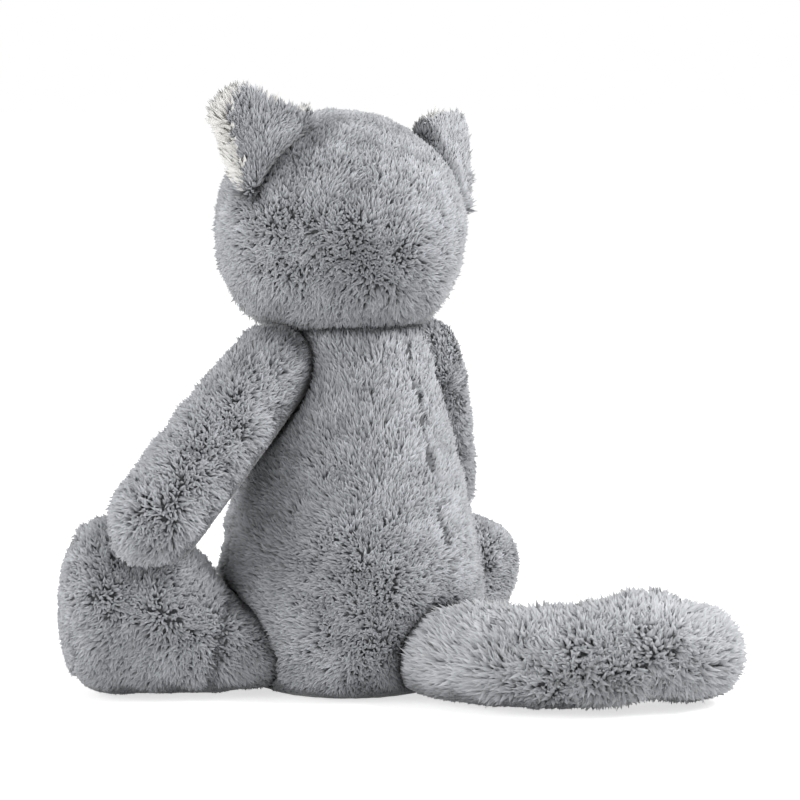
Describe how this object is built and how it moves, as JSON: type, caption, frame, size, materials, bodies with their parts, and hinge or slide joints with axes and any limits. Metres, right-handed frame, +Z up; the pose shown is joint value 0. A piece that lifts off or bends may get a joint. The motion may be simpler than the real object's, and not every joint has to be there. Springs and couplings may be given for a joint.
{
  "type": "plush cat",
  "caption": "Sitting stuffed cat of short grey pile with cream-lined ears, floppy arms and legs, and a long curled tail; head, ears, limbs and tail move.",
  "frame": {"origin": "middle of the flat base that the body sits on, on the floor", "axes": "+Z up; the cat faces -Y and its left side is +X"},
  "size_m": [0.2122, 0.1926, 0.2241],
  "materials": {
    "plush_grey": "short grey pile, combed",
    "plush_long": "longer, paler grey pile",
    "plush_cream": "cream pile",
    "backing": "knitted backing, turned in at the seams",
    "fibre_filling": "loose polyester fibre",
    "bead_pouch": "woven bag of plastic beads",
    "nose_felt": "stitched",
    "thread": "thread",
    "eye_plastic": "glossy",
    "washer_plastic": "plain moulded"
  },
  "bodies": {
    "torso": {"torso_back_left": "plush_grey", "torso_back_right": "plush_grey", "torso_front": "plush_grey", "torso_filling": "fibre_filling", "bean_pouch": "bead_pouch"},
    "neck_seam": {"neck_seam": "backing"},
    "head": {"head_left": "plush_grey", "head_right": "plush_grey", "head_gusset": "plush_grey", "head_filling": "fibre_filling", "muzzle": "plush_cream", "nose": "nose_felt", "mouth_thread": "thread", "eye_left": "eye_plastic", "eye_right": "eye_plastic", "eye_washer_left": "washer_plastic", "eye_washer_right": "washer_plastic"},
    "ear_left": {"ear_left_back": "plush_long", "ear_left_lining": "plush_cream"},
    "ear_right": {"ear_right_back": "plush_long", "ear_right_lining": "plush_cream"},
    "shoulder_seam_left": {"shoulder_seam_left": "backing"},
    "arm_left": {"arm_left_outer": "plush_grey", "arm_left_inner": "plush_grey", "arm_left_filling": "fibre_filling"},
    "shoulder_seam_right": {"shoulder_seam_right": "backing"},
    "arm_right": {"arm_right_outer": "plush_grey", "arm_right_inner": "plush_grey", "arm_right_filling": "fibre_filling"},
    "hip_seam_left": {"hip_seam_left": "backing"},
    "leg_left": {"leg_left_outer": "plush_grey", "leg_left_inner": "plush_grey", "leg_left_sole": "plush_grey", "leg_left_filling": "fibre_filling"},
    "hip_seam_right": {"hip_seam_right": "backing"},
    "leg_right": {"leg_right_outer": "plush_grey", "leg_right_inner": "plush_grey", "leg_right_sole": "plush_grey", "leg_right_filling": "fibre_filling"},
    "tail_seam": {"tail_seam": "backing"},
    "tail": {"tail_top": "plush_long", "tail_under": "plush_long", "tail_filling": "fibre_filling"}
  },
  "joints": [
    {"name": "head_turn", "type": "hinge", "parent": "torso", "child": "neck_seam", "pos_m": [0, 0, 0.132], "axis": [0, 0, 1], "range_deg": [-25, 25], "stiffness_Nm_per_rad": 0.08},
    {"name": "head_nod", "type": "hinge", "parent": "neck_seam", "child": "head", "pos_m": [0, 0, 0.132], "axis": [1, 0, 0], "range_deg": [-9, 4], "stiffness_Nm_per_rad": 0.4},
    {"name": "ear_left_flop", "type": "hinge", "parent": "head", "child": "ear_left", "pos_m": [0.0382, 0.00311, 0.20361], "axis": [0.6727, -0.1528, -0.724], "range_deg": [-20, 22], "stiffness_Nm_per_rad": 0.01},
    {"name": "arm_left_swing", "type": "hinge", "parent": "torso", "child": "shoulder_seam_left", "pos_m": [0.034, -0.002, 0.1215], "axis": [0, 0, 1], "range_deg": [0, 14]},
    {"name": "arm_left_lift", "type": "hinge", "parent": "shoulder_seam_left", "child": "arm_left", "pos_m": [0.034, -0.002, 0.1215], "axis": [0.0388, -0.9992, 0], "range_deg": [0, 60]},
    {"name": "leg_left_splay", "type": "hinge", "parent": "torso", "child": "hip_seam_left", "pos_m": [0.04, -0.002, 0.0185], "axis": [0, 0, 1], "range_deg": [-2, 2]},
    {"name": "leg_left_hang", "type": "hinge", "parent": "hip_seam_left", "child": "leg_left", "pos_m": [0.04, -0.002, 0.0185], "axis": [-0.5592, -0.829, 0], "range_deg": [-7, 0]},
    {"name": "ear_right_flop", "type": "hinge", "parent": "head", "child": "ear_right", "pos_m": [-0.0425, 0.00311, 0.19654], "axis": [0.5368, 0.1528, 0.8298], "range_deg": [-35, 8], "stiffness_Nm_per_rad": 0.01},
    {"name": "arm_right_swing", "type": "hinge", "parent": "torso", "child": "shoulder_seam_right", "pos_m": [-0.034, -0.002, 0.1215], "axis": [0, 0, -1], "range_deg": [0, 25]},
    {"name": "arm_right_lift", "type": "hinge", "parent": "shoulder_seam_right", "child": "arm_right", "pos_m": [-0.034, -0.002, 0.1215], "axis": [-0.7285, 0.685, 0], "range_deg": [0, 60]},
    {"name": "leg_right_splay", "type": "hinge", "parent": "torso", "child": "hip_seam_right", "pos_m": [-0.04, -0.002, 0.0185], "axis": [0, 0, -1], "range_deg": [-3, 6]},
    {"name": "leg_right_hang", "type": "hinge", "parent": "hip_seam_right", "child": "leg_right", "pos_m": [-0.04, -0.002, 0.0185], "axis": [-0.8829, 0.4695, 0], "range_deg": [-7, 0]},
    {"name": "tail_swing", "type": "hinge", "parent": "torso", "child": "tail_seam", "pos_m": [-0.0065, 0.0485, 0.017], "axis": [0, 0, 1], "range_deg": [-30, 10]},
    {"name": "tail_lift", "type": "hinge", "parent": "tail_seam", "child": "tail", "pos_m": [-0.0065, 0.0485, 0.017], "axis": [0.9848, 0.1736, 0], "range_deg": [-5, 20]}
  ]
}
